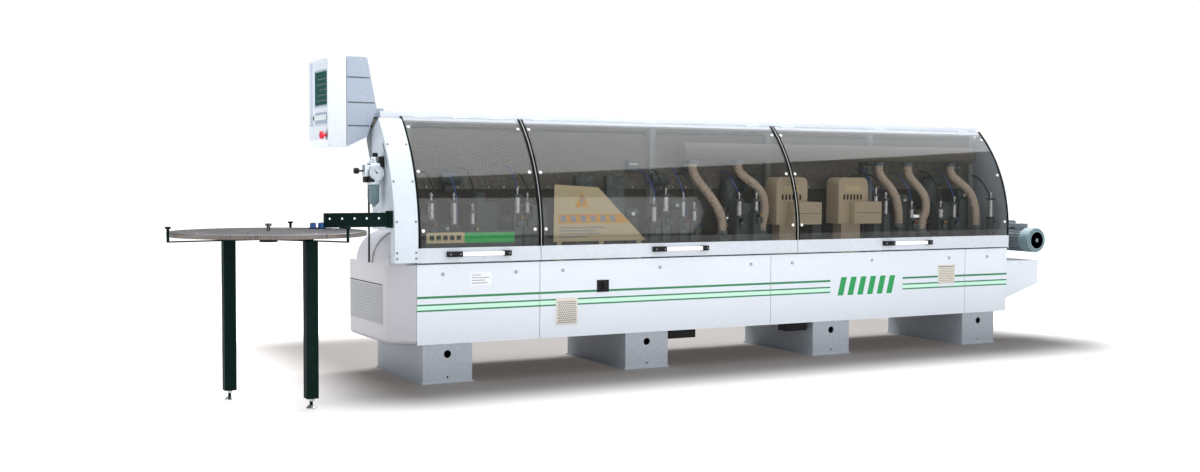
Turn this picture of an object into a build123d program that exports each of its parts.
from build123d import *
import math
import os

# Edge banding machine. Millimetres, +X along the feed, +Y from the hood side to the panel side, +Z up.
# The model is laid out from the left front corner of the cabinet at floor level, and moved at the end
# so that the origin is the bottom centre of the whole machine.

# ---- driving dimensions -------------------------------------------------------------------------
BASE_L = 4415.0          # cabinet length
BASE_D = 780.0           # cabinet depth
PANEL_Z0 = 220.0         # cabinet underside, on top of the skid feet
PANEL_Z1 = 665.0         # cabinet top
SHEET = 2.0              # cabinet sheet
FLANGE = 25.0            # folded edge of a cabinet panel
SEAM = 3.0               # gap between cabinet panels
PANEL_SEAMS = (750.0, 2375.0, BASE_L - 395)
WORK_Z = 870.0           # top of the feed chain
FENCE_Y = 380.0          # line that the panel's edge runs along

FOOT_W = 295.0
FOOT_WALL = 8.0
FOOT_LEFTS = (35.0, 1321.0, 2716.0, BASE_L - 408)
FOOT_SETBACK = 4.0       # from the front panels
SOLE_T = 8.0
SOLE_LIP = 8.0
LIFT_HOLE_R = 22.0
LIFT_HOLE_Z = 162.0
ANCHOR_HOLE_R = 6.0
ANCHOR_HOLE_Z = 33.0

HOOD_R = 950.0           # outer radius of the hood windows
HOOD_CY = 935.0          # centre of that radius
HOOD_CZ = 800.0
HOOD_FRONT = HOOD_CY - HOOD_R
HOOD_END_DEG = 133.2     # where the window ends at the top
GLASS_T = 5.0
RAIL_T = 16.0
RAIL_Z0 = 675.0
RAIL_Z1 = 757.0
HOOD_SPANS = ((3.0, 748.0), (752.0, 2570.0), (2574.0, BASE_L - 5))
SEAL_W = 14.0
SEAL_T = 3.0
HINGE_Y = 303.0
HINGE_Z = 1488.0
HINGE_PIN_R = 5.0
HINGE_BARREL_R = 9.0
HINGE_LEN = 40.0         # barrel of the hood's half
HINGE_INSET = 140.0      # from each end of a hood
RUN_FIT = 0.05           # radial clearance of a pin or shaft in its bore
GAP = 0.3                # clearance between bodies that pass each other
HANDLES = ((170.0, 551.0), (1492.0, 1877.0), (BASE_L - 1145, BASE_L - 733))
HANDLE_CAPS = (84.0, 42.0)
HANDLE_Z = 722.0
HANDLE_H = 28.0
HANDLE_OUT = 32.0        # how far a handle stands off its rail

WALL_Y = 350.0           # front face of the hood's back wall
WALL_T = 3.0
WALL_Z0 = 1080.0
BEAM_Z0 = 1478.0
BEAM_Z1 = 1522.0
BEAM_Y0 = 318.0
ROOF_X0 = -100.0         # infeed end of the roof beam, clear of the control panel
POST_W = 40.0
POST_D = 50.0
POST_XS = (60.0, 1675.0, 2560.0, 3420.0, BASE_L - 65)
BED_T = 15.0
BED_Z = 663.0            # top of the bed plate

ARCH_W = 133.0           # infeed arch band
ARCH_OUT = 25.0          # how far it stands proud of the windows
ARCH_END_DEG = 136.0     # where it ends at the top
ARCH_T = 3.0
END_X = -138.0           # inner face of the infeed end plate
END_T = 3.0
PLATE_FALL = 60.0        # fall of an end plate's top edge towards the back wall

CHAIN_R_IN = 69.0
CHAIN_T = 12.0
CHAIN_Z = WORK_Z - CHAIN_R_IN - CHAIN_T
SPROCKET_R = CHAIN_R_IN - GAP
CHAIN_Y0 = 440.0
CHAIN_Y1 = 522.0
IDLER_X = 150.0
DRIVE_X = BASE_L + 304   # the chain runs on past the cabinet
CHEEK_Y = (400.0, 552.0)
CHEEK_T = 10.0
CORE_H = 110.0           # box section between the cheeks, inside the chain loop
CORE_WALL = 8.0
SHAFT_R = 15.0

BEAM_REST_GAP = 22.0     # panel thickness that the pressure beam is set for at rest
ROLLER_D = 40.0
BEAM_XS = (60.0, BASE_L - 35)
BEAM_W = 140.0
BEAM_H = 170.0           # from the rollers' underside to the beam's top
BEAM_WALL = 7.0
COLUMN_XS = (500.0, 2200.0, 3900.0)
COLUMN_W = 40.0
COLUMN_Y = 490.0
SLEEVE_W = 70.0
SLEEVE_Z = (1112.0, 1400.0)

DISC_X = -867.0          # coil table
DISC_Y = -219.0
DISC_R = 489.0
DISC_T = 22.0
DISC_TOP = 874.0
HUB_R = 45.0
SPINDLE_R = 14.0
LEG_POINTS = ((-1019.0, -4.0), (-714.0, -436.0))
LEG_W = 60.0
LEG_Z0 = 50.0
LINK_POINT = (-404.0, 20.0)
ARM_W = 50.0
ARM_T = 18.0

MOTOR_Z = 714.0
MOTOR_R = 78.0
MOTOR_Y = (95.0, 290.0)
FAN_R = 88.0
FAN_Y0 = 15.0

PANEL_X0 = -400.0        # control panel
PANEL_Y = (315.0, 697.0)
PANEL_ZS = (1316.0, 1820.0)
SWIVEL_X = -85.0
SWIVEL_Y = 440.0
SWIVEL_Z = 1490.0
SWIVEL_PIN_R = 12.0

DUCT_R = 55.0            # dust duct inside the hood
DUCT_Y = 236.0
DUCT_Z = 1320.0
DUCT_X = (1850.0, BASE_L - 135)
SPIGOT_R = 50.0
SPIGOT_L = 90.0
SPIGOT_T = 3.0
COLLAR_OUT = 8.0         # collar where a spigot leaves the back wall
COLLAR_T = 3.0
SPIGOT_XS = (2900.0, 3650.0)
HOSE_R = 30.0

SAW_XS = (1120.0, 1330.0)
SAW_Y = 340.0
SAW_Z = (985.0, 1015.0)
SAW_R = 50.0
SAW_T = 3.0
GUIDE_W = 40.0

NODES = {}


# ---- helpers ------------------------------------------------------------------------------------
def block(x0, x1, y0, y1, z0, z1):
    return Pos((x0 + x1) / 2, (y0 + y1) / 2, (z0 + z1) / 2) * Box(x1 - x0, y1 - y0, z1 - z0)


def box_tube(x0, x1, y0, y1, z0, z1, wall):
    """Box section with welded end caps: a block with a sealed hollow."""
    hollow = block(x0 + wall, x1 - wall, y0 + wall, y1 - wall, z0 + wall, z1 - wall)
    return block(x0, x1, y0, y1, z0, z1) - hollow


def rod_x(x0, x1, y, z, r):
    return Pos((x0 + x1) / 2, y, z) * Rot(0, 90, 0) * Cylinder(r, x1 - x0)


def rod_y(x, y0, y1, z, r):
    return Pos(x, (y0 + y1) / 2, z) * Rot(90, 0, 0) * Cylinder(r, y1 - y0)


def rod_z(x, y, z0, z1, r):
    return Pos(x, y, (z0 + z1) / 2) * Cylinder(r, z1 - z0)


def loop(points):
    return make_face(Polyline(*points, close=True))


def prism_x(face, x0, x1):
    """A face drawn in (y, z), pushed along X."""
    return extrude(Plane.YZ.offset(x0) * face, x1 - x0)


def prism_y(face, y0, y1):
    """A face drawn in (x, z), pushed along Y."""
    return extrude(Plane.XZ.offset(-y0) * face, -(y1 - y0))


def keep(name, *solids):
    NODES[name] = list(solids)


def seams():
    """Start and end of each cabinet panel along X."""
    edges = [0.0, *PANEL_SEAMS, BASE_L]
    return [(a + SEAM / 2, b - SEAM / 2) for a, b in zip(edges[:-1], edges[1:])]


def hood_band(outset, thickness, z0, end_deg):
    """Curved hood section in (y, z): a straight foot, then an arc up to end_deg."""
    r_out = HOOD_R + outset
    r_in = r_out - thickness
    sweep = end_deg - 180
    centre = (HOOD_CY, HOOD_CZ)
    outer = CenterArc(centre, r_out, 180, sweep)
    inner = CenterArc(centre, r_in, 180, sweep)
    edges = [
        Line((HOOD_CY - r_out, z0), (HOOD_CY - r_out, HOOD_CZ)),
        outer,
        Line(outer @ 1, inner @ 1),
        inner,
        Line((HOOD_CY - r_in, HOOD_CZ), (HOOD_CY - r_in, z0)),
        Line((HOOD_CY - r_in, z0), (HOOD_CY - r_out, z0)),
    ]
    return make_face(edges)


def hood_point(radius, deg):
    a = math.radians(deg)
    return HOOD_CY + radius * math.cos(a), HOOD_CZ + radius * math.sin(a)


# ---- cabinet ------------------------------------------------------------------------------------
def skid_feet():
    feet = []
    for x in FOOT_LEFTS:
        y0 = FOOT_SETBACK
        y1 = BASE_D - FOOT_SETBACK
        body = block(x, x + FOOT_W, y0, y1, 0, PANEL_Z0)
        body -= block(x + FOOT_WALL, x + FOOT_W - FOOT_WALL, y0 + FOOT_WALL, y1 - FOOT_WALL,
                      SOLE_T, PANEL_Z0 - FOOT_WALL)
        body += block(x - SOLE_LIP, x + FOOT_W + SOLE_LIP, y0 - SOLE_LIP, y1 + SOLE_LIP, 0, SOLE_T)
        middle = x + FOOT_W / 2
        body -= rod_y(middle, y0 - 1, y0 + FOOT_WALL + 1, LIFT_HOLE_Z, LIFT_HOLE_R)
        body -= rod_y(middle, y0 - 1, y0 + FOOT_WALL + 1, ANCHOR_HOLE_Z, ANCHOR_HOLE_R)
        feet.append(body)
    keep("skid_feet", *feet)


FRAME_Y = ((30.0, 110.0), (BASE_D - 110, BASE_D - 30))
FRAME_WALL = 6.0


def base_frame():
    beam_h = 120.0
    cross_h = 80.0
    cross_w = 60.0
    bays = 10
    z_beam = PANEL_Z0 + beam_h
    pieces = [box_tube(20, BASE_L - 20, y0, y1, PANEL_Z0, z_beam, FRAME_WALL) for y0, y1 in FRAME_Y]
    pitch = (BASE_L - 2 * cross_w) / bays
    for i in range(bays + 1):
        x = 30 + i * pitch
        cross_y = (FRAME_Y[0][1], FRAME_Y[1][0])
        pieces.append(box_tube(x, x + cross_w, *cross_y, PANEL_Z0, PANEL_Z0 + cross_h, FRAME_WALL))
        for y0, y1 in FRAME_Y:
            pieces.append(box_tube(x, x + cross_w, y0, y1, z_beam, BED_Z - BED_T, FRAME_WALL))
    keep("base_frame", *pieces)


def bed_plate():
    keep("bed_plate", block(SHEET, BASE_L - SHEET, SHEET, BASE_D - SHEET, BED_Z - BED_T, BED_Z))


def cabinet_panel(x0, x1, y, inward):
    """Sheet in the XZ plane at y, with its top and bottom edges folded towards inward."""
    far = y + inward * SHEET
    lip = far + inward * FLANGE
    sheet = block(x0, x1, min(y, far), max(y, far), PANEL_Z0, PANEL_Z1)
    lip_y = (min(far, lip), max(far, lip))
    sheet += block(x0, x1, *lip_y, PANEL_Z1 - SHEET, PANEL_Z1)
    sheet += block(x0, x1, *lip_y, PANEL_Z0, PANEL_Z0 + SHEET)
    return sheet


VENTS = ((853.0, 995.0, 292.0, 450.0), (BASE_L - 642, BASE_L - 489, 433.0, 562.0))
VENT_LIP = 8.0
SWITCH = (1123.0, 1201.0, 475.0, 546.0)
LOCK_XS = (153.0, 598.0, 898.0, 1555.0, 2222.0, 2540.0, 3194.0, BASE_L - 543, BASE_L - 190)
LOCK_Z = 610.0
LOCK_R = 11.0
LOCK_HEAD = 3.0


def front_panels():
    panels = [cabinet_panel(x0, x1, 0, 1) for x0, x1 in seams()]
    for i, (x0, x1, z0, z1) in zip((1, 2), VENTS):
        opening = block(x0 + VENT_LIP, x1 - VENT_LIP, -1, SHEET + 1, z0 + VENT_LIP, z1 - VENT_LIP)
        panels[i] = panels[i] - opening
    keep("front_panels", *panels)


def rear_panels():
    panels = [cabinet_panel(x0, x1, BASE_D, -1) for x0, x1 in seams()]
    side_y = (SHEET + FLANGE + 1, BASE_D - SHEET - FLANGE - 1)
    panels.append(block(BASE_L - SHEET, BASE_L, *side_y, PANEL_Z0, BED_Z))
    panels.append(block(0, SHEET, *side_y, PANEL_Z0, BED_Z))
    keep("rear_panels", *panels)


def panel_locks():
    locks = [rod_y(x, -LOCK_HEAD, 0, LOCK_Z, LOCK_R) for x in LOCK_XS]
    locks += [rod_y(x, BASE_D, BASE_D + LOCK_HEAD, LOCK_Z, LOCK_R) for x in LOCK_XS]
    slot = 3.0
    cut = [block(x - LOCK_R, x + LOCK_R, -LOCK_HEAD, -LOCK_HEAD + 1.5, LOCK_Z - slot / 2, LOCK_Z + slot / 2)
           for x in LOCK_XS]
    locks = [lock - c for lock, c in zip(locks, cut)] + locks[len(LOCK_XS):]
    keep("panel_locks", *locks)


def vent_grilles():
    plate_t = 2.0
    grilles = []
    for x0, x1, z0, z1 in VENTS:
        plate = block(x0, x1, -plate_t, 0, z0, z1)
        rows = 8
        pitch = (z1 - z0 - 2 * VENT_LIP) / rows
        for i in range(rows):
            z = z0 + VENT_LIP + (i + 0.5) * pitch
            plate -= block(x0 + 2 * VENT_LIP, x1 - 2 * VENT_LIP, -plate_t - 1, 1, z - 2.5, z + 2.5)
        grilles.append(plate)
    keep("vent_grilles", *grilles)


COVER_Y1 = BASE_D - 2
COVER_FRONT = (-140.0, 100.0)    # front corner of the end cover, seen from above
COVER_X0 = -150.0
COVER_WALL = 6.0
COVER_CORNER_R = 50.0
COVER_FOOT_R = 30.0


def end_cover_body(inset):
    """Solid with the end cover's outline, its corners and foot rounded, cut back by inset except at the cabinet."""
    fx, fy = COVER_FRONT
    x0 = COVER_X0 + inset
    y1 = COVER_Y1 - inset
    z0, z1 = PANEL_Z0 + inset, PANEL_Z1 - SHEET - inset
    outline = loop([(0.0, 2.0 + inset), (fx + inset, fy + inset), (x0, y1), (0.0, y1)])
    body = Pos(0, 0, z0) * extrude(outline, amount=z1 - z0, dir=(0, 0, 1))
    uprights = [e for e in body.edges().filter_by(Axis.Z) if e.center().X < -1]
    body = fillet(uprights, COVER_CORNER_R - inset)
    foot = [e for e in body.edges() if abs(e.center().Z - z0) < 0.1 and e.center().X < -1]
    return fillet(foot, COVER_FOOT_R - inset)


def infeed_end_cover():
    keep("infeed_end_cover", end_cover_body(0) - end_cover_body(COVER_WALL))


NOSE_R = 182.0
NOSE_X = 30.0
NOSE_YS = ((45.0, 290.0), (330.0, 600.0))
NOSE_WALL = 4.0
NOSE_STEP = 25.0         # depth of the groove between the two nose covers


def quarter(radius, z0):
    """Quarter round in (x, z) about the nose axis, with its flat foot at z0."""
    centre = (NOSE_X, z0)
    arc = CenterArc(centre, radius, 90, 90)
    return make_face([arc, Line(arc @ 1, centre), Line(centre, arc @ 0)])


def nose_shell(radius, y0, y1):
    """Closed quarter-round shell: curved top, flat back and floor, end walls at y0 and y1."""
    z0 = PANEL_Z1 - SHEET
    wall = NOSE_WALL
    hollow = prism_y(quarter(radius - 3 * wall, z0), y0 + wall, y1 - wall)
    return prism_y(quarter(radius, z0), y0, y1) - Pos(-wall, 0, wall) * hollow


def infeed_nose_covers():
    lobes = [nose_shell(NOSE_R, y0, y1) for y0, y1 in NOSE_YS]
    keep("infeed_nose_covers", *lobes, nose_shell(NOSE_R - NOSE_STEP, NOSE_YS[0][1], NOSE_YS[1][0]))


# ---- hood ---------------------------------------------------------------------------------------
def hinge_xs(span):
    return (span[0] + HINGE_INSET, (span[0] + span[1]) / 2, span[1] - HINGE_INSET)


def hood(index, span, handle):
    x0, x1 = span
    number = index + 1
    window = prism_x(hood_band(0, GLASS_T, RAIL_Z1, HOOD_END_DEG), x0, x1)
    keep(f"hood_window_{number}", window)

    rail = [block(x0, x1, HOOD_FRONT, HOOD_FRONT + RAIL_T, RAIL_Z0, RAIL_Z1)]
    # top bar: clamps the window's upper edge and carries the hinge barrels
    yt, zt = hood_point(HOOD_R - GLASS_T, HOOD_END_DEG)
    ya, za = hood_point(HOOD_R - GLASS_T, HOOD_END_DEG + 1.6)
    bar = prism_x(loop([(yt, zt), (ya, za), (ya + 9, za - 10), (yt + 9, zt - 10)]), x0, x1)
    for x in hinge_xs(span):
        half = HINGE_LEN / 2
        bar += block(x - half, x + half, yt + 2, HINGE_Y, HINGE_Z - 8, HINGE_Z - 1)
        bar += rod_x(x - half, x + half, HINGE_Y, HINGE_Z, HINGE_BARREL_R)
        bar -= rod_x(x - half - 1, x + half + 1, HINGE_Y, HINGE_Z, HINGE_PIN_R + RUN_FIT)
    rail.append(bar)
    hx0, hx1 = handle
    front = HOOD_FRONT - HANDLE_OUT
    z0, z1 = HANDLE_Z - HANDLE_H / 2, HANDLE_Z + HANDLE_H / 2
    left = block(hx0, hx0 + HANDLE_CAPS[0], front, HOOD_FRONT, z0, z1)
    right = block(hx1 - HANDLE_CAPS[1], hx1, front, HOOD_FRONT, z0, z1)
    grip = block(hx0 + HANDLE_CAPS[0], hx1 - HANDLE_CAPS[1], front + 2, front + 16, z0 + 3, z1 - 3)
    keep(f"hood_rail_{number}", *rail, left, right, grip)

    seal_face = hood_band(SEAL_T, SEAL_T, RAIL_Z1, HOOD_END_DEG)
    seals = [prism_x(seal_face, x0, x0 + SEAL_W), prism_x(seal_face, x1 - SEAL_W, x1)]
    keep(f"hood_seals_{number}", *seals)


def infeed_arch():
    x1 = HOOD_SPANS[0][0] - 8
    face = hood_band(ARCH_OUT, ARCH_T, RAIL_Z0 + 5, ARCH_END_DEG)
    keep("infeed_arch", prism_x(face, x1 - ARCH_W, x1))


def end_outline(outset, z0, end_deg):
    """Outline of a hood end plate in (y, z), from z0 up and over to end_deg."""
    r = HOOD_R + outset
    arc = CenterArc((HOOD_CY, HOOD_CZ), r, 180, end_deg - 180)
    y_top, z_top = hood_point(r, end_deg)
    edges = [
        Line((HOOD_CY - r, z0), (HOOD_CY - r, HOOD_CZ)),
        arc,
        Line((y_top, z_top), (WALL_Y, z_top - PLATE_FALL)),
        Line((WALL_Y, z_top - PLATE_FALL), (WALL_Y, z0)),
        Line((WALL_Y, z0), (HOOD_CY - r, z0)),
    ]
    return make_face(edges)


TAPE_SLOT = (5.0, 36.0, 882.0, 951.0)  # (y, z) window that the edge tape comes in through


def hood_end_plates():
    arch_side = end_outline(ARCH_OUT - ARCH_T - 1, RAIL_Z0 + 5, ARCH_END_DEG)
    infeed = prism_x(arch_side, END_X, END_X + END_T)
    infeed -= block(END_X - 1, END_X + END_T + 1, *TAPE_SLOT)
    infeed -= block(END_X - 1, END_X + END_T + 1, NOSE_YS[0][0] - 12, WALL_Y + 1, RAIL_Z0, PANEL_Z1 + NOSE_R + 8)
    far_x = HOOD_SPANS[-1][1] + 1
    outfeed = prism_x(end_outline(0, PANEL_Z1, HOOD_END_DEG), far_x, far_x + END_T)
    keep("hood_end_plates", infeed, outfeed)


def roof_beam():
    x0, x1 = ROOF_X0, HOOD_SPANS[-1][1] + 1 + END_T
    pieces = [block(x0, x1, BEAM_Y0, WALL_Y + WALL_T, BEAM_Z0, BEAM_Z1)]
    lug = 24.0
    for span in HOOD_SPANS:
        for x in hinge_xs(span):
            inner = HINGE_LEN / 2 + GAP
            for side in (-1, 1):
                a, b = sorted((x + side * inner, x + side * (inner + lug)))
                knuckle = rod_x(a, b, HINGE_Y, HINGE_Z, HINGE_BARREL_R)
                knuckle += block(a, b, HINGE_Y, BEAM_Y0, HINGE_Z - 5, HINGE_Z + 5)
                pieces[0] += knuckle
            pieces[0] += rod_x(x - inner - lug, x + inner + lug, HINGE_Y, HINGE_Z, HINGE_PIN_R)
    keep("roof_beam", *pieces)


def hood_back_wall():
    x0, x1 = END_X + END_T, HOOD_SPANS[-1][1] + 1 + END_T
    wall = block(x0, x1, WALL_Y, WALL_Y + WALL_T, WALL_Z0, BEAM_Z0)
    for x in SPIGOT_XS:
        wall -= rod_y(x, WALL_Y - 1, WALL_Y + WALL_T + 1, DUCT_Z, SPIGOT_R)
    keep("hood_back_wall", wall)


def uprights():
    keep("uprights", *[block(x - POST_W / 2, x + POST_W / 2, WALL_Y - POST_D, WALL_Y, BED_Z, BEAM_Z0)
                       for x in POST_XS])


# ---- feed conveyor ------------------------------------------------------------------------------
def conveyor_rail():
    cheeks = []
    for y in CHEEK_Y:
        cheek = block(70, DRIVE_X + 60, y, y + CHEEK_T, BED_Z, 855)
        cheek -= block(BASE_L - SHEET, DRIVE_X + 61, y - 1, y + CHEEK_T + 1, BED_Z - 1, BED_Z + 20)
        for x in (IDLER_X, DRIVE_X):
            cheek -= rod_y(x, y - 1, y + CHEEK_T + 1, CHAIN_Z, SHAFT_R + RUN_FIT)
        cheeks.append(cheek)
    core_y = (CHEEK_Y[0] + CHEEK_T, CHEEK_Y[1])
    core = box_tube(IDLER_X + 90, DRIVE_X - 90, *core_y, CHAIN_Z - CORE_H / 2, CHAIN_Z + CORE_H / 2, CORE_WALL)
    keep("conveyor_rail", *cheeks, core)


def conveyor_chain():
    r_out = CHAIN_R_IN + CHAIN_T
    runs = [
        block(IDLER_X, DRIVE_X, CHAIN_Y0, CHAIN_Y1, CHAIN_Z + CHAIN_R_IN, CHAIN_Z + r_out),
        block(IDLER_X, DRIVE_X, CHAIN_Y0, CHAIN_Y1, CHAIN_Z - r_out, CHAIN_Z - CHAIN_R_IN),
    ]
    for x, side in ((IDLER_X, -1), (DRIVE_X, 1)):
        ring = rod_y(x, CHAIN_Y0, CHAIN_Y1, CHAIN_Z, r_out) - rod_y(x, CHAIN_Y0 - 1, CHAIN_Y1 + 1, CHAIN_Z, CHAIN_R_IN)
        a, b = sorted((x, x + side * 2 * r_out))
        runs.append(ring & block(a, b, CHAIN_Y0, CHAIN_Y1, CHAIN_Z - 2 * r_out, CHAIN_Z + 2 * r_out))
    keep("conveyor_chain", *runs)


def sprocket(x):
    teeth = 16
    wheel = rod_y(x, CHAIN_Y0 + 15, CHAIN_Y1 - 15, CHAIN_Z, SPROCKET_R)
    for i in range(teeth):
        a = 2 * math.pi * i / teeth
        wheel -= rod_y(x + SPROCKET_R * math.cos(a), CHAIN_Y0, CHAIN_Y1, CHAIN_Z + SPROCKET_R * math.sin(a), 6)
    front = CHEEK_Y[0] - 15 if x == DRIVE_X else CHEEK_Y[0] - 2
    return wheel + rod_y(x, front, CHEEK_Y[1] + CHEEK_T + 4, CHAIN_Z, SHAFT_R)


def sprockets():
    keep("drive_sprocket", sprocket(DRIVE_X))
    keep("idler_sprocket", sprocket(IDLER_X))


def gear_motor():
    y0, y1 = MOTOR_Y
    gearbox = block(DRIVE_X - 78, DRIVE_X + 78, y1, CHEEK_Y[0], MOTOR_Z - 74, CHAIN_Z + 60)
    gearbox = fillet(gearbox.edges().filter_by(Axis.Y), 20)
    gearbox -= rod_y(DRIVE_X, CHEEK_Y[0] - 20, CHEEK_Y[0] + 1, CHAIN_Z, SHAFT_R + 1)
    body = rod_y(DRIVE_X, y0, y1, MOTOR_Z, MOTOR_R)
    fins = 24
    for i in range(fins):
        a = 2 * math.pi * i / fins
        fin = Pos(DRIVE_X, 0, MOTOR_Z) * Rot(0, math.degrees(a), 0) * block(MOTOR_R - 1, MOTOR_R + 8, y0 + 12, y1 - 12,
                                                                             -1.5, 1.5)
        body += fin
    body += block(DRIVE_X - 45, DRIVE_X + 45, y0 + 50, y1 - 30, MOTOR_Z + MOTOR_R - 8, MOTOR_Z + MOTOR_R + 38)
    bracket = block(BASE_L, DRIVE_X - 78, CHEEK_Y[0] - 60, CHEEK_Y[0] - 40, BED_Z - 20, CHAIN_Z + 60)
    keep("gear_motor", gearbox, body, bracket)


def motor_fan_cover():
    y1 = MOTOR_Y[0]
    cup = rod_y(DRIVE_X, FAN_Y0, y1 + 10, MOTOR_Z, FAN_R)
    cup = fillet(cup.edges().filter_by(GeomType.CIRCLE).sort_by(Axis.Y)[0], 10)
    cup -= rod_y(DRIVE_X, FAN_Y0 + 3, y1 + 11, MOTOR_Z, FAN_R - 3)
    back = rod_y(DRIVE_X, y1 - 3, y1, MOTOR_Z, FAN_R - 3)
    for ring in range(3):
        for i in range(8 + 6 * ring):
            a = 2 * math.pi * i / (8 + 6 * ring)
            r = 22 + 20 * ring
            cup -= rod_y(DRIVE_X + r * math.cos(a), FAN_Y0 - 1, FAN_Y0 + 4, MOTOR_Z + r * math.sin(a), 6)
    keep("motor_fan_cover", cup + back)


def outfeed_box():
    x0, x1 = BASE_L, BASE_L + 370
    outer = [(x0, 567), (x1, 567), (x1, 399), (x0, 285)]
    w = 3
    inner = [(x0 + w, 567 - w), (x1 - w, 567 - w), (x1 - w, 399 + w), (x0 + w, 285 + 2 * w)]
    keep("outfeed_box", prism_y(loop(outer), 60, 380) - prism_y(loop(inner), 60 + w, 380 - w))


# ---- pressure beam ------------------------------------------------------------------------------
def pressure_beam():
    z0 = WORK_Z + BEAM_REST_GAP
    x0, x1 = BEAM_XS
    y0, y1 = COLUMN_Y - BEAM_W / 2, COLUMN_Y + BEAM_W / 2
    beam = box_tube(x0, x1, y0, y1, z0 + ROLLER_D - 8, z0 + BEAM_H, BEAM_WALL)
    for x in COLUMN_XS:
        beam += block(x - COLUMN_W / 2, x + COLUMN_W / 2, COLUMN_Y - COLUMN_W / 2, COLUMN_Y + COLUMN_W / 2,
                      z0 + BEAM_H, SLEEVE_Z[1] - 20)
    rollers = box_tube(x0 + 20, x1 - 20, y0 + 20, y1 - 20, z0, z0 + ROLLER_D - 8, BEAM_WALL)
    keep("pressure_beam", beam, rollers)


def lifting_sleeves():
    """Square sleeves on the back wall that the pressure beam's columns slide in."""
    sleeves = []
    for x in COLUMN_XS:
        half = SLEEVE_W / 2
        bore = COLUMN_W / 2 + GAP
        sleeve = block(x - half, x + half, COLUMN_Y - half, COLUMN_Y + half, *SLEEVE_Z)
        sleeve -= block(x - bore, x + bore, COLUMN_Y - bore, COLUMN_Y + bore, SLEEVE_Z[0] - 1, SLEEVE_Z[1] + 1)
        sleeve += block(x - 20, x + 20, WALL_Y + WALL_T, COLUMN_Y - half, SLEEVE_Z[0] + 40, SLEEVE_Z[1] - 40)
        sleeves.append(sleeve)
    return sleeves


# ---- coil table ---------------------------------------------------------------------------------
def arm_to(px, py, z0, z1, width, start):
    """Flat arm from the table's hub towards a point."""
    dx, dy = px - DISC_X, py - DISC_Y
    length = math.hypot(dx, dy)
    turn = math.degrees(math.atan2(dy, dx))
    return Pos(DISC_X, DISC_Y, 0) * Rot(0, 0, turn) * block(start, length, -width / 2, width / 2, z0, z1)


def coil_table():
    z1 = DISC_TOP - DISC_T - 4
    z0 = z1 - ARM_T
    frame = rod_z(DISC_X, DISC_Y, z0 - 10, z1, HUB_R)
    ends = [*LEG_POINTS, LINK_POINT]
    for px, py in ends:
        frame += arm_to(px, py, z0, z1, ARM_W, HUB_R - 5)
    lx, ly = LINK_POINT
    frame += block(lx - 18, lx + 22, ly - 25, ly + 25, z0, 878)
    frame += rod_z(DISC_X, DISC_Y, z1, DISC_TOP - 6, SPINDLE_R)
    legs = []
    for px, py in LEG_POINTS:
        half = LEG_W / 2
        legs.append(block(px - half, px + half, py - half, py + half, LEG_Z0, z0))
        foot = rod_z(px, py, 14, LEG_Z0, 8)
        foot += Pos(px, py, 7) * Cone(25, 12, 14)
        legs.append(foot)
    for turn in (190.0, -57.0, 63.0):
        a = math.radians(turn)
        x = DISC_X + (DISC_R + 22) * math.cos(a)
        y = DISC_Y + (DISC_R + 22) * math.sin(a)
        guide = rod_z(x, y, z0, DISC_TOP + 22, 7) + rod_z(x, y, DISC_TOP + 22, DISC_TOP + 32, 14)
        frame += arm_to(x, y, z0, z0 + 6, 24, HUB_R - 5)
        frame += guide
    keep("coil_table_frame", frame, *legs)

    disc = rod_z(DISC_X, DISC_Y, DISC_TOP - DISC_T, DISC_TOP, DISC_R)
    disc = chamfer(disc.edges().filter_by(GeomType.CIRCLE).sort_by(Axis.Z)[-1], 2)
    disc -= rod_z(DISC_X, DISC_Y, DISC_TOP - DISC_T - 1, DISC_TOP - 5, SPINDLE_R + RUN_FIT)
    disc += rod_z(DISC_X, DISC_Y, DISC_TOP, DISC_TOP + 26, 9)
    disc += rod_z(DISC_X, DISC_Y, DISC_TOP + 26, DISC_TOP + 39, 16)
    keep("coil_disc", disc)


def tape_guide():
    """Tape guide bar on the infeed end plate, with two guide rollers at its outer end."""
    plate = END_X
    bar = block(-510, plate - 24, 0, 40, 878, 955) - block(-511, plate - 20, 18, 22, 900, 956)
    block_end = block(plate - 24, plate, -8, 48, 872, 964) - block(plate - 25, plate + 1, 18, 22, 900, 965)
    rollers = [rod_z(x, 20, 879, 903, 16) for x in (-528.0, -572.0)]
    carrier = block(-596, -510, 4, 36, 875, 879)
    keep("tape_guide", bar, block_end, carrier, *rollers)


def infeed_fence():
    top = PANEL_Z1 - SHEET + NOSE_R
    fence = block(-90, NOSE_X + 30, FENCE_Y - 12, FENCE_Y - 4, top, 930)
    keep("infeed_fence", fence + block(NOSE_X + 2, NOSE_X + 30, FENCE_Y - 12, FENCE_Y - 4, BED_Z, top))


# ---- working units ------------------------------------------------------------------------------
PRESS_X = 820.0
PRESS_Y = 330.0
PRESS_R = 45.0
GLUE_X = 560.0
GLUE_Y = 356.0
GLUE_R = 18.0
TRIM_X = 2245.0
TRIM_Y = 340.0
TRIM_R = 32.0
BUFF_X = 3930.0
BUFF_Y = 315.0
BUFF_R = 60.0
SPINDLE_Z = (800.0, 980.0)  # underside and top of the brackets that hold the vertical spindles


def glue_pot():
    pot = block(400, 590, 205, 325, 790, 1000)
    pot = fillet(pot.edges().filter_by(Axis.Z), 25)
    pot += rod_z(470, 265, 1000, 1060, 45)
    for z in (830, 940):
        pot += block(GLUE_X - 14, GLUE_X + 14, 320, GLUE_Y + 14, z, z + 10)
        pot -= rod_z(GLUE_X, GLUE_Y, z - 1, z + 11, 8 + RUN_FIT)
    keep("glue_pot", pot)
    keep("glue_roller", rod_z(GLUE_X, GLUE_Y, 850, 930, GLUE_R) + rod_z(GLUE_X, GLUE_Y, 826, 956, 8))


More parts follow.
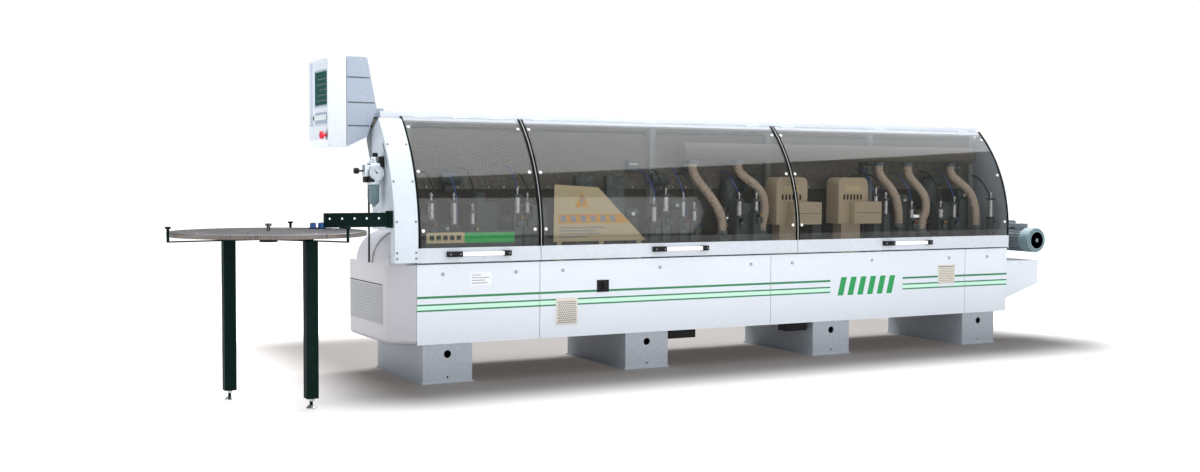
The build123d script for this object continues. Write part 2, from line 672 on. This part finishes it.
def unit_stands():
    """Columns and brackets that carry the working units on the bed plate."""
    stands = [block(410, 580, 215, 315, BED_Z, 790)]
    press = block(PRESS_X - 50, PRESS_X + 50, 140, 210, BED_Z, 985)
    for z in (810, 955):
        press += block(PRESS_X - 30, PRESS_X + 30, 200, PRESS_Y + 24, z, z + 25)
        press -= rod_z(PRESS_X, PRESS_Y, z - 1, z + 26, 12 + RUN_FIT)
    stands.append(press)
    for x in SAW_XS:
        half = GUIDE_W / 2
        stands.append(block(x - half, x + half, 200, 230, BED_Z, 1160))
        stands.append(block(x - 60, x + 60, 150, 200, BED_Z, 1160))
    for x, y, r in ((TRIM_X, TRIM_Y, 12), (BUFF_X, BUFF_Y, 12)):
        column = block(x - 70, x + 70, 110, 190, BED_Z, SPINDLE_Z[1] + 10)
        for z in (SPINDLE_Z[0], SPINDLE_Z[1] - 20):
            column += block(x - 40, x + 40, 180, y + 25, z, z + 20)
            column -= rod_z(x, y, z - 1, z + 21, r + RUN_FIT)
        stands.append(column)
    keep("unit_stands", *stands, *lifting_sleeves())


def unit_motors():
    """Spindle motors of the trimming and buffing units, above and below their tools."""
    motors = []
    for x, y in ((TRIM_X, TRIM_Y - 40), (BUFF_X, BUFF_Y - 40)):
        motors.append(rod_z(x, y, SPINDLE_Z[1], 1150, 48))
        motors.append(rod_z(x, y, BED_Z + 7, SPINDLE_Z[0], 48))
    keep("unit_motors", *motors)


def press_roller():
    keep("press_roller", rod_z(PRESS_X, PRESS_Y, 845, 925, PRESS_R) + rod_z(PRESS_X, PRESS_Y, 806, 984, 12))


def saws():
    """Two end-trimming saws, each a motor on a slide that runs down its own guide."""
    for number, (x, z) in enumerate(zip(SAW_XS, SAW_Z), start=1):
        half = GUIDE_W / 2
        slide = block(x - half - 18, x + half + 18, 190, SAW_Y - 30, z - 45, z + 45)
        slide -= block(x - half - GAP, x + half + GAP, 189, 230 + GAP, z - 46, z + 46)
        slide -= block(x - 60 - GAP, x + 60 + GAP, 189, 200 + GAP, z - 46, z + 46)
        slide += rod_x(x - 70, x + 60, SAW_Y, z, 40)
        slide -= rod_x(x + 30, x + 61, SAW_Y, z, 10 + RUN_FIT)
        keep(f"saw_carriage_{number}", slide)
        blade = rod_x(x + 68, x + 68 + SAW_T, SAW_Y, z, SAW_R)
        teeth = 24
        for i in range(teeth):
            a = 2 * math.pi * i / teeth
            blade -= rod_x(x + 67, x + 69 + SAW_T, SAW_Y + SAW_R * math.cos(a), z + SAW_R * math.sin(a), 3)
        blade += rod_x(x + 31, x + 68, SAW_Y, z, 10)
        keep(f"saw_blade_{number}", blade + rod_x(x + 68 + SAW_T, x + 78, SAW_Y, z, 12))


def toothed(x, y, z0, z1, r, teeth, bite):
    tool = rod_z(x, y, z0, z1, r)
    for i in range(teeth):
        a = 2 * math.pi * i / teeth
        tool -= rod_z(x + r * math.cos(a), y + r * math.sin(a), z0 - 1, z1 + 1, bite)
    return tool


def cutters_and_buffs():
    z0, z1 = SPINDLE_Z[0] + GAP, SPINDLE_Z[1] - GAP
    spindle = rod_z(TRIM_X, TRIM_Y, z0, z1, 12)
    cutters = spindle + toothed(TRIM_X, TRIM_Y, 836, 862, TRIM_R, 6, 6)
    cutters += toothed(TRIM_X, TRIM_Y, 898, 924, TRIM_R, 6, 6)
    keep("trim_cutters", cutters)
    wheels = rod_z(BUFF_X, BUFF_Y, z0, z1, 12)
    for z in (835, 898):
        wheels += rod_z(BUFF_X, BUFF_Y, z, z + 28, BUFF_R)
    keep("buffing_wheels", wheels)


COVERS = ((2487.0, 100.0), (2989.0, 100.0))


def motor_covers():
    """Moulded covers of the scraping units: rounded tops, with a lower box standing out at the front."""
    covers = []
    for x, y in COVERS:
        body = block(x, x + 245, y, y + 130, 853, 1159)
        top = body.edges().filter_by(Axis.Y).sort_by(Axis.Z)[-2:]
        body = fillet(top, 45)
        body += block(x + 90, x + 320, y - 55, y + 120, 853, 998)
        body -= block(x + 6, x + 239, y + 6, y + 124, 852, 1080)
        covers.append(body)
        stand = block(x + 40, x + 200, y + 20, y + 110, BED_Z, 913)
        covers.append(stand + block(x + 6, x + 239, y + 6, y + 124, 905, 913))
    keep("motor_covers", *covers)


def sign_plates():
    """Warning guard in front of the end-trimming saws, and the strip of plates behind the window's foot."""
    guard = loop([(875, 773), (881, 1109), (1171, 1093), (1500, 773)])
    pieces = [prism_y(guard, 77, 80)]
    for x in (900, 1180, 1440):
        pieces.append(block(x, x + 30, 80, 86, BED_Z, 800))
    pieces.append(block(60, 285, 6, 9, 782, 841))
    pieces.append(block(285, 591, 6, 9, 782, 838))
    pieces.append(block(50, 600, 9, 12, PANEL_Z1, 845))
    pieces.append(block(315, 446, -1.5, 0, 540, 614))
    keep("sign_plates", *pieces)


# ---- dust extraction ----------------------------------------------------------------------------
def dust_manifold():
    duct = rod_x(DUCT_X[0], DUCT_X[1], DUCT_Y, DUCT_Z, DUCT_R)
    wall = WALL_Y + WALL_T
    for x in SPIGOT_XS:
        duct += rod_y(x, DUCT_Y, wall + SPIGOT_L, DUCT_Z, SPIGOT_R)
        duct += rod_y(x, wall, wall + COLLAR_T, DUCT_Z, SPIGOT_R + COLLAR_OUT)
    duct -= rod_x(DUCT_X[0] + SPIGOT_T, DUCT_X[1] - SPIGOT_T, DUCT_Y, DUCT_Z, DUCT_R - SPIGOT_T)
    for x in SPIGOT_XS:
        duct -= rod_y(x, DUCT_Y, wall + SPIGOT_L + 1, DUCT_Z, SPIGOT_R - SPIGOT_T)
    keep("dust_manifold", duct)


# Each hose leaves the duct's underside and ends on its unit; points are (x, y, z).
HOSE_TOP = DUCT_Z - DUCT_R
HOSE_ROUTES = (
    ((1930, DUCT_Y, HOSE_TOP), (1930, DUCT_Y, 1170), (2030, 150, 1020), (2090, 130, 900), (2090, 130, 790)),
    ((2275, DUCT_Y, HOSE_TOP), (2275, DUCT_Y, 1190), (2400, 150, 1080), (2430, 140, 960), (2400, 140, 870),
     (2400, 140, 790)),
    ((3440, DUCT_Y, HOSE_TOP), (3440, DUCT_Y, 1180), (3520, 160, 1060), (3550, 150, 930), (3550, 150, 820)),
    ((3700, DUCT_Y, HOSE_TOP), (3700, DUCT_Y, 1170), (3780, 150, 1050), (3790, 140, 940), (3745, 140, 860),
     (3745, 140, 780)),
    ((4090, DUCT_Y, HOSE_TOP), (4090, DUCT_Y, 1180), (4230, 180, 1070), (4270, 160, 940), (4270, 160, 800)),
)


def bend_radii(points):
    """Largest arc at each corner of a route: 0.45 of its shorter run over the tangent of half the turn."""
    radii = []
    for a, b, c in zip(points, points[1:], points[2:]):
        u = Vector(*b) - Vector(*a)
        v = Vector(*c) - Vector(*b)
        radii.append(0.45 * min(u.length, v.length) / math.tan(math.radians(u.get_angle(v)) / 2))
    return radii


def dust_hoses():
    hoses = []
    for points in HOSE_ROUTES:
        radii = bend_radii(points)
        print("hose bend radii", [round(r) for r in radii])
        path = FilletPolyline(*points, radius=radii)
        section = Plane(origin=points[0], z_dir=path % 0) * Circle(HOSE_R)
        hoses.append(sweep(section, path))
    keep("dust_hoses", *hoses)


def hose_shoes():
    """Suction shoes on the bed that the hoses run down into."""
    shoes = []
    for points in HOSE_ROUTES:
        x, y, z = points[-1]
        shoes.append(block(x - 40, x + 40, y - 40, y + 40, BED_Z, z))
    return shoes


# ---- control panel, air unit, electrics ---------------------------------------------------------
def control_panel():
    z0, z1 = PANEL_ZS
    x = PANEL_X0
    side = [(x, z0 + 40), (x + 20, z0), (x + 103, z0), (x + 223, z0 + 58), (x + 279, 1537), (x + 224, z1), (x, z1)]
    body = prism_y(loop(side), *PANEL_Y)
    body = fillet(body.edges().filter_by(Axis.Y).sort_by(Axis.Z)[-2:], 18)
    groove = 4.0
    for z in (1430.0, 1560.0, 1700.0):
        cut = block(x + 110, x + 400, PANEL_Y[0] - 1, PANEL_Y[0] + groove, z, z + 10)
        body -= cut
    body -= block(x - 1, x + 14, PANEL_Y[0] + 22, PANEL_Y[1] - 22, z0 + 120, z1 - 22)
    body -= block(x + 36, x + 218, PANEL_Y[0] + 10, PANEL_Y[1] - 10, z0 + 66, z1 - 24)
    neck_z1 = SWIVEL_Z + 50
    body += block(x + 240, SWIVEL_X + 35, SWIVEL_Y - 35, SWIVEL_Y + 35, SWIVEL_Z, neck_z1)
    body -= rod_z(SWIVEL_X, SWIVEL_Y, SWIVEL_Z - 1, neck_z1 - 8, SWIVEL_PIN_R + RUN_FIT)
    estop_y, estop_z = 345.0, 1380.0
    body -= rod_x(x - 1, x + 30, estop_y, estop_z, 9)
    keep("control_housing", body)

    screen = block(x + 8, x + 14, 362, 600, 1553, 1740)
    keys = [block(x + 8, x + 14, y, y + 26, 1470, 1496) for y in range(380, 660, 40)]
    keep("control_screen", screen, *keys)
    head = Pos(x - 30, estop_y, estop_z) * Rot(0, 90, 0) * Cylinder(22, 16)
    head = fillet(head.edges().filter_by(GeomType.CIRCLE).sort_by(Axis.X)[0], 5)
    keep("estop_button", head + rod_x(x - 23, x + 20, estop_y, estop_z, 8.5))


def control_arm():
    wall = WALL_Y + WALL_T
    arm = block(-130, -40, wall, SWIVEL_Y + 30, 1180, 1430)
    arm -= prism_x(loop([(wall + 20, 1179), (SWIVEL_Y + 31, 1179), (SWIVEL_Y + 31, 1360)]), -131, -39)
    arm += rod_z(SWIVEL_X, SWIVEL_Y, 1430, SWIVEL_Z - GAP, 28)
    arm += rod_z(SWIVEL_X, SWIVEL_Y, SWIVEL_Z - 1, SWIVEL_Z + 38, SWIVEL_PIN_R)
    keep("control_arm", arm)


FRL_X = -190.0
FRL_Y = 160.0
KNOB_R = 16.0


def air_unit():
    plate = END_X
    body = block(FRL_X - 30, FRL_X + 30, FRL_Y - 30, FRL_Y + 30, 1105, 1225)
    body += block(FRL_X + 30, plate, FRL_Y - 20, FRL_Y + 20, 1130, 1200)
    body += rod_y(FRL_X, FRL_Y - 55, FRL_Y - 30, 1171, 40)
    body += block(FRL_X - 85, FRL_X - 30, FRL_Y - 25, FRL_Y + 25, 1150, 1215)
    body += rod_z(FRL_X, FRL_Y, 985, 1105, 30)
    body -= rod_x(FRL_X - 86, FRL_X - 60, FRL_Y, 1182, 5 + RUN_FIT)
    keep("air_unit", body)
    knob = rod_x(FRL_X - 112, FRL_X - 88, FRL_Y, 1182, KNOB_R)
    for i in range(12):
        a = math.pi * i / 6
        knob -= rod_x(FRL_X - 113, FRL_X - 87, FRL_Y + KNOB_R * math.cos(a), 1182 + KNOB_R * math.sin(a), 2)
    keep("regulator_knob", knob + rod_x(FRL_X - 88, FRL_X - 62, FRL_Y, 1182, 5))


def electrical_boxes():
    x0, x1, z0, z1 = SWITCH
    plate = block(x0, x1, -6, 0, z0, z1) - rod_y((x0 + x1) / 2, -7, 1, (z0 + z1) / 2, 8 + RUN_FIT)
    boxes = [plate, block(1640, 1835, 36, 130, 165, PANEL_Z0), block(2530, 2690, 36, 130, 165, PANEL_Z0)]
    keep("electrical_boxes", *boxes)
    cx, cz = (x0 + x1) / 2, (z0 + z1) / 2
    knob = rod_y(cx, -24, -6 - GAP, cz, 20) - block(cx - 21, cx - 6, -25, -12, cz - 21, cz + 21)
    knob -= block(cx + 6, cx + 21, -25, -12, cz - 21, cz + 21)
    keep("main_switch_knob", knob + rod_y(cx, -8, -1, cz, 8))


# ---- rear panel support -------------------------------------------------------------------------
SUPPORT_XS = (900.0, 3500.0)
SUPPORT_OUT = 50.0
SUPPORT_BORE = 36.0
SUPPORT_Z = 790.0


def panel_support():
    guides = []
    arms = []
    y0 = CHEEK_Y[1] + CHEEK_T
    for x in SUPPORT_XS:
        half = SUPPORT_OUT / 2
        bore = SUPPORT_BORE / 2
        guide = block(x - half, x + half, y0, y0 + 230, SUPPORT_Z - half, SUPPORT_Z + half)
        guides.append(guide - block(x - bore, x + bore, y0 + 10, y0 + 231, SUPPORT_Z - bore, SUPPORT_Z + bore))
        arm = bore - GAP
        arms.append(block(x - arm, x + arm, y0 + 12, y0 + 260, SUPPORT_Z - arm, SUPPORT_Z + arm))
    keep("support_guides", *guides)
    beam = block(SUPPORT_XS[0] - 250, SUPPORT_XS[1] + 250, y0 + 260, y0 + 310, SUPPORT_Z - 25, WORK_Z - 10)
    top = block(SUPPORT_XS[0] - 240, SUPPORT_XS[1] + 240, y0 + 268, y0 + 302, WORK_Z - 10, WORK_Z - 1)
    keep("support_extension", *arms, beam, top)


def build():
    skid_feet()
    base_frame()
    bed_plate()
    front_panels()
    rear_panels()
    panel_locks()
    vent_grilles()
    infeed_end_cover()
    infeed_nose_covers()
    for i, (span, handle) in enumerate(zip(HOOD_SPANS, HANDLES)):
        hood(i, span, handle)
    infeed_arch()
    hood_end_plates()
    roof_beam()
    hood_back_wall()
    uprights()
    conveyor_rail()
    conveyor_chain()
    sprockets()
    gear_motor()
    motor_fan_cover()
    outfeed_box()
    pressure_beam()
    coil_table()
    tape_guide()
    infeed_fence()
    glue_pot()
    unit_stands()
    NODES["unit_stands"] += hose_shoes()
    unit_motors()
    press_roller()
    saws()
    cutters_and_buffs()
    motor_covers()
    sign_plates()
    dust_manifold()
    dust_hoses()
    control_panel()
    control_arm()
    air_unit()
    electrical_boxes()
    panel_support()


def machine_origin():
    """Bottom centre of the whole machine, in layout coordinates."""
    boxes = [solid.bounding_box() for solids in NODES.values() for solid in solids]
    x = (min(b.min.X for b in boxes) + max(b.max.X for b in boxes)) / 2
    y = (min(b.min.Y for b in boxes) + max(b.max.Y for b in boxes)) / 2
    return x, y, min(b.min.Z for b in boxes)


build()
ORIGIN = machine_origin()
os.makedirs("parts", exist_ok=True)
for name, solids in NODES.items():
    moved = [s for solid in solids for s in (Pos(-ORIGIN[0], -ORIGIN[1], -ORIGIN[2]) * solid).solids()]
    shape = moved[0] if len(moved) == 1 else Compound(children=moved)
    export_step(shape, f"parts/{name}.step")
print("origin in layout", [round(v, 3) for v in ORIGIN], "nodes", len(NODES))
